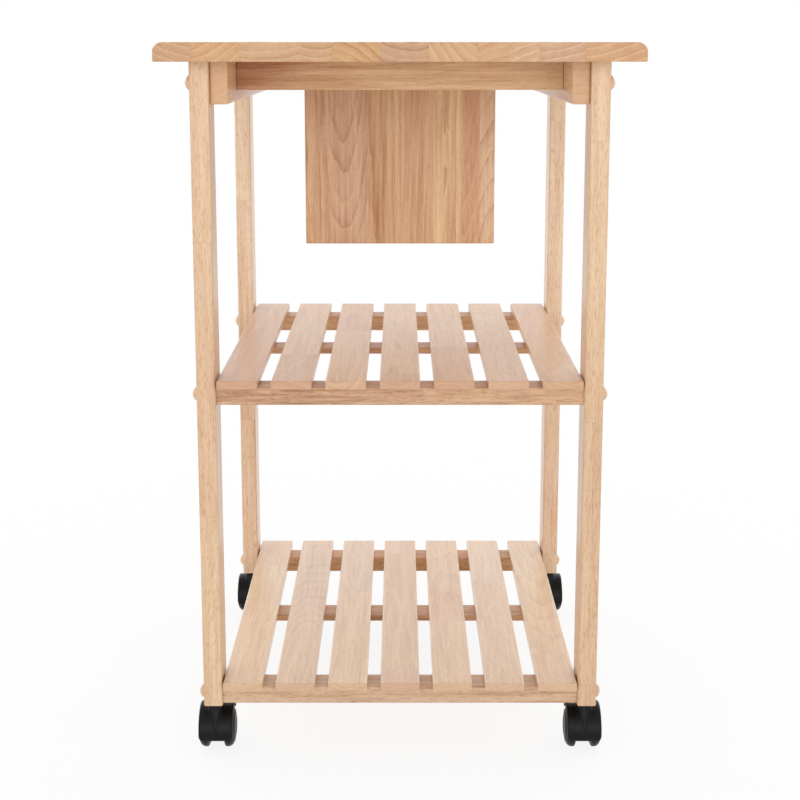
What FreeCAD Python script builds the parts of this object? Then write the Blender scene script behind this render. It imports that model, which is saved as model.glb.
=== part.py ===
import FreeCAD, Part
import math
import os
import Sketcher

# Kitchen cart in wood: work top, two slatted shelves, four legs, hanging board, four twin-wheel casters.
# Frame: millimetres, origin on the floor under the middle of the cart, +X right, +Y to the far end, +Z up.

SIZES = (
    ("work_height", 842, "floor to the work surface"),
    ("top_width", 534, "work top, left to right"),
    ("top_depth", 586, "work top, front to rear"),
    ("top_thick", 21, "work top thickness"),
    ("top_round", 11, "round-over along the long top edges"),
    ("top_ease", 2, "easing of the other work top edges"),
    ("leg_spread_x", 465, "outer faces of the legs, left to right"),
    ("leg_spread_y", 520, "outer edges of the legs, front to rear"),
    ("leg_thick", 22, "leg, left to right"),
    ("leg_deep", 48, "leg, front to rear"),
    ("edge_ease", 2, "easing of leg, rail, bar and board edges"),
    ("rail_thick", 20, "side rail thickness"),
    ("rail_tall", 47, "side rail height"),
    ("rail_setback", 8, "rail end behind the outer edge of the leg"),
    ("apron_thick", 20, "cross apron thickness"),
    ("apron_tall", 34, "cross apron height"),
    ("apron_inset", 105, "outer face of the apron from the outer edge of the legs"),
    ("apron_gap", 0.5, "open joint line at each apron end"),
    ("board_wide", 256, "hanging board width"),
    ("board_tall", 249, "hanging board height"),
    ("board_thick", 18, "hanging board thickness"),
    ("mid_shelf_top", 464, "floor to the top of the middle shelf"),
    ("low_shelf_top", 100, "floor to the top of the low shelf"),
    ("slat_wide", 46.2, "slat width"),
    ("slat_thick", 10, "slat thickness"),
    ("slat_long", 538, "slat length"),
    ("slat_ease", 1.5, "easing of slat and batten edges"),
    ("slat_side_gap", 1.9, "outer slat to the inner face of the leg"),
    ("bar_tall", 21, "shelf bar height"),
    ("bar_deep", 38, "shelf bar, front to rear"),
    ("batten_thick", 8, "batten under the slats, thickness"),
    ("batten_deep", 40, "batten, front to rear"),
    ("fit_clear", 0.1, "radial clearance of fasteners in the wood"),
    ("end_clear", 0.5, "clearance at the blind end of a bore"),
    ("bolt_offset", 4.5, "bolts outward from the middle of the leg depth"),
    ("counterbore_radius", 5.2, "counterbore for a bolt head and its cap"),
    ("counterbore_deep", 5.5, "counterbore depth"),
    ("bolt_radius", 3, "shelf bolt shank"),
    ("bolt_reach", 40, "shelf bolt length in the bar"),
    ("bolt_head_radius", 5, "bolt and rail screw head"),
    ("bolt_head_tall", 2.4, "bolt and rail screw head height"),
    ("barrel_radius", 5, "barrel nut"),
    ("barrel_long", 14, "barrel nut length"),
    ("barrel_inset", 30, "barrel nut from the bar end"),
    ("rail_screw_radius", 2.2, "rail screw shank"),
    ("rail_screw_bite", 16, "rail screw length in the rail"),
    ("cap_radius", 8.2, "dome cap"),
    ("cap_wall", 2.5, "straight wall of the dome cap"),
    ("cap_tall", 6.8, "dome cap height on the leg"),
    ("cap_round", 2.5, "rounding at the dome cap rim"),
    ("cap_tenon_radius", 5, "tenon of the dome cap"),
    ("cap_tenon_long", 2.8, "tenon length"),
    ("dowel_radius", 4, "apron dowel"),
    ("dowel_long", 28, "apron dowel length"),
    ("dowel_in_rail", 12, "apron dowel length in the rail"),
    ("dowel_spread", 8, "apron dowels above and below the apron middle"),
    ("screw_radius", 2, "wood screw shank"),
    ("screw_head_radius", 4, "wood screw head"),
    ("screw_head_tall", 2.6, "wood screw head height"),
    ("top_screw_grip", 27, "rail left under the work top by the screw pocket"),
    ("top_screw_bite", 12, "screw length in the work top"),
    ("top_screw_spread", 190, "outer top screws from the middle screw"),
    ("board_screw_grip", 14, "apron left behind the hanging board"),
    ("board_screw_bite", 12, "screw length in the hanging board"),
    ("board_screw_inner", 40, "inner board screws from the middle"),
    ("board_screw_outer", 100, "outer board screws from the middle"),
    ("slat_screw_radius", 1.75, "slat screw shank"),
    ("slat_screw_head_radius", 3.5, "slat screw head"),
    ("slat_screw_head_tall", 2, "slat screw head height"),
    ("slat_screw_grip", 5, "bar or batten left under the slat"),
    ("slat_screw_bite", 7, "screw length in the slat"),
    ("slat_screw_offset", 8, "slat screws inward from the middle of the bar"),
    ("screw_tip", 3, "length of a screw point"),
    ("caster_height", 67, "floor to the underside of the leg"),
    ("stem_offset", 4.5, "caster stems inward from the middle of the leg depth"),
    ("caster_trail", 12, "stem axis to axle axis"),
    ("socket_radius", 5, "socket sleeve in the leg"),
    ("socket_deep", 36, "socket sleeve depth in the leg"),
    ("socket_flange_radius", 8.5, "flange of the socket sleeve"),
    ("socket_flange_thick", 1, "flange thickness"),
    ("stem_radius", 4, "caster stem"),
    ("stem_in_hood", 28, "stem length in the hood"),
    ("collar_radius", 7.5, "collar of the stem"),
    ("collar_thick", 1.6, "collar thickness"),
    ("stem_chamfer", 0.8, "chamfer at the stem and axle ends"),
    ("run_clear", 0.05, "radial running clearance on stem and axle"),
    ("thrust_gap", 0.3, "axial running gap at collar and wheels"),
    ("wheel_radius", 25, "wheel"),
    ("wheel_dome_x", 23.1, "caster middle to the top of the wheel dome"),
    ("wheel_rim_x", 19.6, "caster middle to the rim under the dome"),
    ("wheel_round", 7, "round-over from dome to tread"),
    ("wheel_slant_x", 2.2, "slant at the inner edge of the tread, across"),
    ("wheel_slant_r", 5, "slant at the inner edge of the tread, radial"),
    ("axle_radius", 3, "axle"),
    ("axle_half", 17, "half of the axle length"),
    ("web_width", 16, "hood web between the wheels"),
    ("web_radius", 19, "hood web below the axle"),
    ("hood_radius", 30, "outside of the hood"),
    ("hood_wall", 3.5, "wall of the hood over the wheels"),
    ("hood_width", 39, "hood, left to right"),
    ("hood_round", 2.2, "rounding of the hood rims"),
    ("hood_front_drop", 15, "degrees that the hood reaches below the axle in front"),
    ("hood_rear_rise", 28, "degrees above the axle where the hood ends behind"),
    ("boss_radius", 9, "boss of the hood round the stem"),
    ("boss_blend", 4, "blend between boss and hood"),
)

SLAT_COUNT = 7
SHELVES = ("mid", "low")
SIDES = (("left", -1), ("right", 1))
ENDS = (("front", -1), ("rear", 1))

doc = FreeCAD.newDocument("kitchen_cart")
sheet = doc.addObject("Spreadsheet::Sheet", "Sizes")
for row, (alias, number, note) in enumerate(SIZES, start=1):
    sheet.set(f"A{row}", note)
    sheet.set(f"B{row}", str(number))
    sheet.setAlias(f"B{row}", alias)
doc.recompute()

# Worked-out places, as formulas on the sheet
TOP_UNDER = "(Sizes.work_height - Sizes.top_thick)"
LEG_HALF_X = "(Sizes.leg_spread_x / 2 - Sizes.leg_thick / 2)"
LEG_HALF_Y = "(Sizes.leg_spread_y / 2 - Sizes.leg_deep / 2)"
INNER_HALF = "(Sizes.leg_spread_x / 2 - Sizes.leg_thick)"
RAIL_HALF_X = f"({INNER_HALF} - Sizes.rail_thick / 2)"
RAIL_LEVEL = f"({TOP_UNDER} - Sizes.rail_tall / 2)"
APRON_LEVEL = f"({TOP_UNDER} - Sizes.apron_tall / 2)"
APRON_HALF_X = f"({INNER_HALF} - Sizes.rail_thick - Sizes.apron_gap)"
APRON_HALF_Y = "(Sizes.leg_spread_y / 2 - Sizes.apron_inset - Sizes.apron_thick / 2)"
SLAT_FIELD = f"(2 * ({INNER_HALF} - Sizes.slat_side_gap))"
SLAT_PITCH = f"(({SLAT_FIELD} - Sizes.slat_wide) / {SLAT_COUNT - 1})"
BOLT_HALF_Y = f"({LEG_HALF_Y} + Sizes.bolt_offset)"
STEM_HALF_Y = f"({LEG_HALF_Y} - Sizes.stem_offset)"
SEAT_HALF_X = "(Sizes.leg_spread_x / 2 - Sizes.counterbore_deep)"
LEG_GRIP = "(Sizes.leg_thick - Sizes.counterbore_deep)"
COLLAR_UNDER = "(Sizes.caster_height - Sizes.socket_flange_thick - Sizes.collar_thick)"
BOSS_TOP = f"({COLLAR_UNDER} - Sizes.thrust_gap)"
WHEEL_IN = "(Sizes.web_width / 2 + Sizes.thrust_gap)"
AXLE_BORE = "(Sizes.axle_radius + Sizes.run_clear)"
WELL_RADIUS = "(Sizes.hood_radius - Sizes.hood_wall)"
BOLT_HOLE = "Sizes.bolt_radius + Sizes.fit_clear"
SCREW_HOLE = "Sizes.screw_radius + Sizes.fit_clear"
SLAT_SCREW_HOLE = "Sizes.slat_screw_radius + Sizes.fit_clear"

# Turns that bring the local +Z axis onto the named direction
TURNS = {
    "+X": FreeCAD.Rotation(FreeCAD.Vector(0, 1, 0), 90),
    "-X": FreeCAD.Rotation(FreeCAD.Vector(0, 1, 0), -90),
    "+Y": FreeCAD.Rotation(FreeCAD.Vector(1, 0, 0), -90),
    "-Y": FreeCAD.Rotation(FreeCAD.Vector(1, 0, 0), 90),
    "+Z": FreeCAD.Rotation(),
}
OUTWARD_X = {-1: "-X", 1: "+X"}
INWARD_X = {-1: "+X", 1: "-X"}

nodes = []


def value(formula):
    """Number that a formula on the sheet gives now."""
    return float(sheet.evalExpression(formula))


def shelf_top(shelf):
    return f"Sizes.{shelf}_shelf_top"


def bar_bottom(shelf):
    return f"({shelf_top(shelf)} - Sizes.slat_thick - Sizes.bar_tall)"


def bolt_level(shelf):
    return f"({bar_bottom(shelf)} + Sizes.bar_tall / 2)"


def slat_place(number):
    return f"({number - (SLAT_COUNT - 1) / 2} * {SLAT_PITCH})"


def bind(item, **formulas):
    for name, formula in formulas.items():
        item.setExpression(name, formula)


def place(item, x, y, z, direction="+Z"):
    item.Placement = FreeCAD.Placement(FreeCAD.Vector(), TURNS[direction])
    bind(item, **{"Placement.Base.x": x, "Placement.Base.y": y, "Placement.Base.z": z})


def new_body(label, x="0", y="0", z="0"):
    body = doc.addObject("PartDesign::Body", label)
    body.Label = label
    place(body, x, y, z)
    return body


def keep(item):
    """Mark a finished sub-part for export under its label."""
    nodes.append(item)
    return item


def add_rod(body, radius, height, start=("0", "0", "0"), direction="+Z"):
    rod = body.newObject("PartDesign::AdditiveCylinder", "rod")
    bind(rod, Radius=radius, Height=height)
    place(rod, *start, direction)
    return rod


def bore(body, radius, depth, start, direction):
    hole = body.newObject("PartDesign::SubtractiveCylinder", "bore")
    bind(hole, Radius=radius, Height=depth)
    place(hole, *start, direction)
    return hole


def along(*axes):
    """Test for straight edges that run along one of the axes."""
    def fits(edge):
        run = edge.Vertexes[-1].Point - edge.Vertexes[0].Point
        return run.Length > 0 and any(abs(abs(getattr(run, axis)) - run.Length) < 1e-6 for axis in axes)
    return fits


def at_height(level):
    """Test for edges that lie flat at one height of the body."""
    return lambda edge: max(abs(vertex.Z - value(level)) for vertex in edge.Vertexes) < 1e-6


def across_at(station):
    """Test for edges that lie square to the X axis at one station of the body."""
    def fits(edge):
        box = edge.BoundBox
        return max(abs(box.XMin - value(station)), abs(box.XMax - value(station))) < 1e-4
    return fits


def dress(body, kind, prop, formula, wanted):
    """Fillet or chamfer on the wanted edges of the body as it stands."""
    doc.recompute()
    base = body.Tip
    names = [f"Edge{number}" for number, edge in enumerate(base.Shape.Edges, start=1) if wanted(edge)]
    feature = body.newObject(f"PartDesign::{kind}", kind.lower())
    feature.Base = (base, names)
    bind(feature, **{prop: formula})
    return feature


def fillet(body, radius, wanted):
    return dress(body, "Fillet", "Radius", radius, wanted)


def chamfer(body, size, wanted):
    return dress(body, "Chamfer", "Size", size, wanted)


def plank(label, size_x, size_y, size_z, x, y, z):
    """Wooden piece, centred across and standing on its own place."""
    body = new_body(label, x, y, z)
    blank = body.newObject("PartDesign::AdditiveBox", "blank")
    bind(blank, Length=size_x, Width=size_y, Height=size_z)
    place(blank, f"-({size_x}) / 2", f"-({size_y}) / 2", "0")
    return body


def outline(body, role, points, arc_after=None):
    """Closed sketch through the points; one segment may be an arc about the sketch's H axis."""
    sketch = body.newObject("Sketcher::SketchObject", "outline")
    plane = next(item for item in body.Origin.OriginFeatures if item.Role == role)
    sketch.AttachmentSupport = [(plane, "")]
    sketch.MapMode = "FlatFace"
    corners = [FreeCAD.Vector(value(across), value(up), 0) for across, up in points]
    for number, start in enumerate(corners):
        end = corners[(number + 1) % len(corners)]
        segment = Part.LineSegment(start, end)
        if number == arc_after:
            segment = arc_about_axis(start, end)
        sketch.addGeometry(segment)

    def tip_of(number, corner):
        return 1 if sketch.Geometry[number].StartPoint.isEqual(corner, 1e-6) else 2

    for number, corner in enumerate(corners):
        before = (number - 1) % len(corners)
        here = tip_of(number, corner)
        sketch.addConstraint(Sketcher.Constraint("Coincident", before, tip_of(before, corner), number, here))
        for kind, axis, distance, formula in (("DistanceX", -2, corner.x, points[number][0]),
                                              ("DistanceY", -1, corner.y, points[number][1])):
            if formula == "0":
                sketch.addConstraint(Sketcher.Constraint("PointOnObject", number, here, axis))
                continue
            index = sketch.addConstraint(Sketcher.Constraint(kind, -1, 1, number, here, distance))
            sketch.renameConstraint(index, f"{kind}_{number}")
            sketch.setExpression(f"Constraints.{kind}_{number}", formula)
    if arc_after is not None:
        sketch.addConstraint(Sketcher.Constraint("PointOnObject", arc_after, 3, -1))
    return sketch


def arc_about_axis(start, end):
    """Arc between the two points whose centre lies on the H axis, the short way round."""
    centre = (end.x ** 2 + end.y ** 2 - start.x ** 2 - start.y ** 2) / (2 * (end.x - start.x))
    hub = FreeCAD.Vector(centre, 0, 0)
    circle = Part.Circle(hub, FreeCAD.Vector(0, 0, 1), (start - hub).Length)
    angles = [circle.parameter(start), circle.parameter(end)]
    sweep = (angles[1] - angles[0]) % (2 * math.pi)
    first, last = angles if sweep < math.pi else reversed(angles)
    return Part.ArcOfCircle(circle, first, last)


def revolve(body, points, arc_after):
    """Solid of revolution about the body's X axis."""
    sketch = outline(body, "XZ_Plane", points, arc_after)
    turned = body.newObject("PartDesign::Revolution", "turned")
    turned.Profile = sketch
    turned.ReferenceAxis = (sketch, ["H_Axis"])
    turned.Angle = 360
    return turned


def screw(label, head_radius, head_tall, radius, length, pointed=True):
    """Pattern piece for a group: head seated at Z 0, driven along +Z."""
    body = new_body(label)
    add_rod(body, head_radius, head_tall, ("0", "0", f"-{head_tall}"))
    if not pointed:
        add_rod(body, radius, length)
        return body
    add_rod(body, radius, f"{length} - Sizes.screw_tip")
    point = body.newObject("PartDesign::AdditiveCone", "point")
    bind(point, Radius1=radius, Radius2=f"{radius} / 8", Height="Sizes.screw_tip")
    place(point, "0", "0", f"{length} - Sizes.screw_tip")
    return body


def group(label, pattern, places):
    """One node of separate like pieces, each a placed copy of the pattern piece."""
    copies = []
    for number, (x, y, z, direction) in enumerate(places, start=1):
        copy = doc.addObject("App::Link", f"{label}_{number}")
        copy.LinkedObject = pattern
        place(copy, x, y, z, direction)
        copies.append(copy)
    compound = doc.addObject("Part::Compound", label)
    compound.Label = label
    compound.Links = copies
    return keep(compound)


def leg_corners():
    for end_name, end in ENDS:
        for side_name, side in SIDES:
            yield f"{end_name}_{side_name}", side, end


def make_top():
    top = plank("table_top", "Sizes.top_width", "Sizes.top_depth", "Sizes.top_thick", "0", "0", TOP_UNDER)
    upper = at_height("Sizes.top_thick")
    fillet(top, "Sizes.top_round", lambda edge: along("y")(edge) and upper(edge))
    lower = at_height("0")
    fillet(top, "Sizes.top_ease", lambda edge: along("y")(edge) and lower(edge))
    fillet(top, "Sizes.top_ease", along("x"))
    for side_name, side in SIDES:
        for step in (-1, 0, 1):
            start = (f"{side} * {RAIL_HALF_X}", f"{step} * Sizes.top_screw_spread", "0")
            bore(top, SCREW_HOLE, "Sizes.top_screw_bite + Sizes.end_clear", start, "+Z")
    keep(top)


def make_rail(side_name, side):
    rail = plank(f"side_rail_{side_name}", "Sizes.rail_thick", "Sizes.leg_spread_y - 2 * Sizes.rail_setback",
                 "Sizes.rail_tall", f"{side} * {RAIL_HALF_X}", "0", f"{TOP_UNDER} - Sizes.rail_tall")
    lower = at_height("0")
    fillet(rail, "Sizes.edge_ease", lambda edge: along("z")(edge) or lower(edge))
    for step in (-1, 0, 1):
        start = ("0", f"{step} * Sizes.top_screw_spread", "0")
        bore(rail, "Sizes.screw_head_radius + Sizes.fit_clear", "Sizes.rail_tall - Sizes.top_screw_grip",
             start, "+Z")
        bore(rail, SCREW_HOLE, "Sizes.rail_tall", start, "+Z")
    for end_name, end in ENDS:
        outer = (f"{side} * Sizes.rail_thick / 2", f"{end} * {BOLT_HALF_Y}", "Sizes.rail_tall / 2")
        bore(rail, "Sizes.rail_screw_radius + Sizes.fit_clear", "Sizes.rail_screw_bite + Sizes.end_clear",
             outer, INWARD_X[side])
        for step in (-1, 1):
            inner = (f"{-side} * Sizes.rail_thick / 2", f"{end} * {APRON_HALF_Y}",
                     f"Sizes.rail_tall - Sizes.apron_tall / 2 + {step} * Sizes.dowel_spread")
            bore(rail, "Sizes.dowel_radius + Sizes.fit_clear", "Sizes.dowel_in_rail + Sizes.end_clear",
                 inner, OUTWARD_X[side])
    keep(rail)


def make_apron(end_name, end):
    apron = plank(f"{end_name}_apron", f"2 * {APRON_HALF_X}", "Sizes.apron_thick", "Sizes.apron_tall",
                  "0", f"{end} * {APRON_HALF_Y}", f"{TOP_UNDER} - Sizes.apron_tall")
    lower = at_height("0")
    fillet(apron, "Sizes.edge_ease", lambda edge: along("x")(edge) and lower(edge))
    dowel_depth = "Sizes.dowel_long - Sizes.dowel_in_rail - Sizes.apron_gap + Sizes.end_clear"
    for side_name, side in SIDES:
        for step in (-1, 1):
            start = (f"{side} * {APRON_HALF_X}", "0", f"Sizes.apron_tall / 2 + {step} * Sizes.dowel_spread")
            bore(apron, "Sizes.dowel_radius + Sizes.fit_clear", dowel_depth, start, INWARD_X[side])
    return keep(apron)


def board_screw_places():
    for side_name, side in SIDES:
        for spread in ("inner", "outer"):
            yield f"{side} * Sizes.board_screw_{spread}"


def drill_board_screws(rear_apron):
    for across in board_screw_places():
        start = (across, "Sizes.apron_thick / 2", "Sizes.apron_tall / 2")
        bore(rear_apron, "Sizes.screw_head_radius + Sizes.fit_clear",
             "Sizes.apron_thick - Sizes.board_screw_grip", start, "-Y")
        bore(rear_apron, SCREW_HOLE, "Sizes.apron_thick", start, "-Y")


def make_hanging_board():
    board = plank("hanging_board", "Sizes.board_wide", "Sizes.board_thick", "Sizes.board_tall", "0",
                  f"{APRON_HALF_Y} - Sizes.apron_thick / 2 - Sizes.board_thick / 2",
                  f"{TOP_UNDER} - Sizes.board_tall")
    lower = at_height("0")
    fillet(board, "Sizes.edge_ease", lambda edge: along("z")(edge) or lower(edge))
    for across in board_screw_places():
        start = (across, "Sizes.board_thick / 2", "Sizes.board_tall - Sizes.apron_tall / 2")
        bore(board, SCREW_HOLE, "Sizes.board_screw_bite + Sizes.end_clear", start, "-Y")
    keep(board)


def make_leg(corner, side, end):
    leg = plank(f"leg_{corner}", "Sizes.leg_thick", "Sizes.leg_deep", f"{TOP_UNDER} - Sizes.caster_height",
                f"{side} * {LEG_HALF_X}", f"{end} * {LEG_HALF_Y}", "Sizes.caster_height")
    lower = at_height("0")
    fillet(leg, "Sizes.edge_ease", lambda edge: along("z")(edge) or lower(edge))
    holes = [(RAIL_LEVEL, "Sizes.rail_screw_radius + Sizes.fit_clear")]
    holes += [(bolt_level(shelf), BOLT_HOLE) for shelf in SHELVES]
    for level, radius in holes:
        start = (f"{side} * Sizes.leg_thick / 2", f"{end} * Sizes.bolt_offset",
                 f"{level} - Sizes.caster_height")
        bore(leg, "Sizes.counterbore_radius", "Sizes.counterbore_deep", start, INWARD_X[side])
        bore(leg, radius, "Sizes.leg_thick", start, INWARD_X[side])
    bore(leg, "Sizes.socket_radius + Sizes.fit_clear", "Sizes.socket_deep + Sizes.end_clear",
         ("0", f"{-end} * Sizes.stem_offset", "0"), "+Z")
    keep(leg)


def make_bar(shelf, end_name, end):
    bar = plank(f"{shelf}_shelf_{end_name}_bar", f"2 * {INNER_HALF}", "Sizes.bar_deep", "Sizes.bar_tall",
                "0", f"{end} * {LEG_HALF_Y}", bar_bottom(shelf))
    fillet(bar, "Sizes.edge_ease", along("x"))
    for side_name, side in SIDES:
        outer = (f"{side} * {INNER_HALF}", f"{end} * Sizes.bolt_offset", "Sizes.bar_tall / 2")
        bore(bar, BOLT_HOLE, "Sizes.bolt_reach + Sizes.end_clear", outer, INWARD_X[side])
        under = (f"{side} * ({INNER_HALF} - Sizes.barrel_inset)", f"{end} * Sizes.bolt_offset", "0")
        bore(bar, "Sizes.barrel_radius + Sizes.fit_clear", "Sizes.bar_tall / 2 + Sizes.barrel_long / 2",
             under, "+Z")
    for number in range(SLAT_COUNT):
        start = (slat_place(number), f"{-end} * Sizes.slat_screw_offset", "0")
        bore(bar, "Sizes.slat_screw_head_radius + Sizes.fit_clear", "Sizes.bar_tall - Sizes.slat_screw_grip",
             start, "+Z")
        bore(bar, SLAT_SCREW_HOLE, "Sizes.bar_tall", start, "+Z")
    keep(bar)


def make_batten(shelf):
    batten = plank(f"{shelf}_shelf_centre_batten", SLAT_FIELD, "Sizes.batten_deep", "Sizes.batten_thick",
                   "0", "0", f"{shelf_top(shelf)} - Sizes.slat_thick - Sizes.batten_thick")
    fillet(batten, "Sizes.slat_ease", along("x"))
    for number in range(SLAT_COUNT):
        start = (slat_place(number), "0", "0")
        bore(batten, "Sizes.slat_screw_head_radius + Sizes.fit_clear",
             "Sizes.batten_thick - Sizes.slat_screw_grip", start, "+Z")
        bore(batten, SLAT_SCREW_HOLE, "Sizes.batten_thick", start, "+Z")
    keep(batten)


def slat_screw_rows():
    """Where the slat screws stand, front to rear: front bar, batten, rear bar."""
    bar_row = f"({LEG_HALF_Y} - Sizes.slat_screw_offset)"
    return (f"-{bar_row}", "0", bar_row)


def make_slat(shelf, number):
    slat = plank(f"{shelf}_shelf_slat_{number + 1}", "Sizes.slat_wide", "Sizes.slat_long", "Sizes.slat_thick",
                 slat_place(number), "0", f"{shelf_top(shelf)} - Sizes.slat_thick")
    fillet(slat, "Sizes.slat_ease", along("x", "y", "z"))
    for row in slat_screw_rows():
        bore(slat, SLAT_SCREW_HOLE, "Sizes.slat_screw_bite + Sizes.end_clear", ("0", row, "0"), "+Z")
    keep(slat)


def make_cap_pattern():
    """Dome cap with its tenon; the dome points along the local X axis."""
    cap = new_body("cap_pattern")
    revolve(cap, (("-Sizes.cap_tenon_long", "0"), ("Sizes.cap_tall", "0"),
                  ("Sizes.cap_wall", "Sizes.cap_radius"), ("0", "Sizes.cap_radius"),
                  ("0", "Sizes.cap_tenon_radius"), ("-Sizes.cap_tenon_long", "Sizes.cap_tenon_radius")),
            arc_after=1)
    fillet(cap, "Sizes.cap_round", across_at("Sizes.cap_wall"))
    return cap


def make_barrel_pattern():
    """Barrel nut, upright, with its cross hole at half height along X."""
    nut = new_body("barrel_pattern")
    add_rod(nut, "Sizes.barrel_radius", "Sizes.barrel_long", ("0", "0", "-Sizes.barrel_long / 2"))
    bore(nut, BOLT_HOLE, "2 * Sizes.barrel_radius", ("-Sizes.barrel_radius", "0", "0"), "+X")
    return nut


def make_fasteners():
    top_screw = screw("top_screw_pattern", "Sizes.screw_head_radius", "Sizes.screw_head_tall",
                      "Sizes.screw_radius", "(Sizes.top_screw_grip + Sizes.top_screw_bite)")
    top_seat = f"{TOP_UNDER} - Sizes.top_screw_grip"
    group("top_screws", top_screw, [
        (f"{side} * {RAIL_HALF_X}", f"{step} * Sizes.top_screw_spread", top_seat, "+Z")
        for side_name, side in SIDES for step in (-1, 0, 1)])

    board_screw = screw("board_screw_pattern", "Sizes.screw_head_radius", "Sizes.screw_head_tall",
                        "Sizes.screw_radius", "(Sizes.board_screw_grip + Sizes.board_screw_bite)")
    board_seat = f"{APRON_HALF_Y} - Sizes.apron_thick / 2 + Sizes.board_screw_grip"
    group("board_screws", board_screw, [
        (across, board_seat, APRON_LEVEL, "-Y") for across in board_screw_places()])

    slat_screw = screw("slat_screw_pattern", "Sizes.slat_screw_head_radius", "Sizes.slat_screw_head_tall",
                       "Sizes.slat_screw_radius", "(Sizes.slat_screw_grip + Sizes.slat_screw_bite)")
    group("slat_screws", slat_screw, [
        (slat_place(number), row, f"{shelf_top(shelf)} - Sizes.slat_thick - Sizes.slat_screw_grip", "+Z")
        for shelf in SHELVES for number in range(SLAT_COUNT) for row in slat_screw_rows()])

    rail_screw = screw("rail_screw_pattern", "Sizes.bolt_head_radius", "Sizes.bolt_head_tall",
                       "Sizes.rail_screw_radius", f"({LEG_GRIP} + Sizes.rail_screw_bite)")
    group("rail_screws", rail_screw, [
        (f"{side} * {SEAT_HALF_X}", f"{end} * {BOLT_HALF_Y}", RAIL_LEVEL, INWARD_X[side])
        for corner, side, end in leg_corners()])

    bolt = screw("bolt_pattern", "Sizes.bolt_head_radius", "Sizes.bolt_head_tall",
                 "Sizes.bolt_radius", f"({LEG_GRIP} + Sizes.bolt_reach)", pointed=False)
    group("shelf_bolts", bolt, [
        (f"{side} * {SEAT_HALF_X}", f"{end} * {BOLT_HALF_Y}", bolt_level(shelf), INWARD_X[side])
        for shelf in SHELVES for corner, side, end in leg_corners()])

    group("barrel_nuts", make_barrel_pattern(), [
        (f"{side} * ({INNER_HALF} - Sizes.barrel_inset)", f"{end} * {BOLT_HALF_Y}", bolt_level(shelf), "+Z")
        for shelf in SHELVES for corner, side, end in leg_corners()])

    dowel = new_body("dowel_pattern")
    add_rod(dowel, "Sizes.dowel_radius", "Sizes.dowel_long")
    dowel_start = f"({INNER_HALF} - Sizes.rail_thick + Sizes.dowel_in_rail)"
    group("apron_dowels", dowel, [
        (f"{side} * {dowel_start}", f"{end} * {APRON_HALF_Y}", f"{APRON_LEVEL} + {step} * Sizes.dowel_spread",
         INWARD_X[side])
        for corner, side, end in leg_corners() for step in (-1, 1)])


def make_caps():
    pattern = make_cap_pattern()
    levels = [RAIL_LEVEL] + [bolt_level(shelf) for shelf in SHELVES]
    caps = group("bolt_caps", pattern, [
        (f"{side} * Sizes.leg_spread_x / 2", f"{end} * {BOLT_HALF_Y}", level, "+Z")
        for level in levels for corner, side, end in leg_corners()])
    half_turn = FreeCAD.Rotation(FreeCAD.Vector(0, 0, 1), 180)
    for number, copy in enumerate(caps.Links):
        if number % len(SIDES) == 0:
            copy.Placement.Rotation = half_turn


def make_sockets():
    socket = new_body("socket_pattern")
    add_rod(socket, "Sizes.socket_radius", "Sizes.socket_deep")
    add_rod(socket, "Sizes.socket_flange_radius", "Sizes.socket_flange_thick",
            ("0", "0", "-Sizes.socket_flange_thick"))
    bore(socket, "Sizes.stem_radius + Sizes.fit_clear", "Sizes.socket_flange_thick + Sizes.socket_deep",
         ("0", "0", "-Sizes.socket_flange_thick"), "+Z")
    group("stem_sockets", socket, [
        (f"{side} * {LEG_HALF_X}", f"{end} * {STEM_HALF_Y}", "Sizes.caster_height", "+Z")
        for corner, side, end in leg_corners()])


def make_stem(name, x, y):
    stem = new_body(f"{name}_stem", x, y)
    add_rod(stem, "Sizes.stem_radius",
            "Sizes.caster_height + Sizes.socket_deep - " + BOSS_TOP + " + Sizes.stem_in_hood",
            ("0", "0", f"{BOSS_TOP} - Sizes.stem_in_hood"))
    top = "(Sizes.caster_height + Sizes.socket_deep)"
    chamfer(stem, "Sizes.stem_chamfer", at_height(top))
    add_rod(stem, "Sizes.collar_radius", "Sizes.collar_thick", ("0", "0", COLLAR_UNDER))
    keep(stem)


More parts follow.
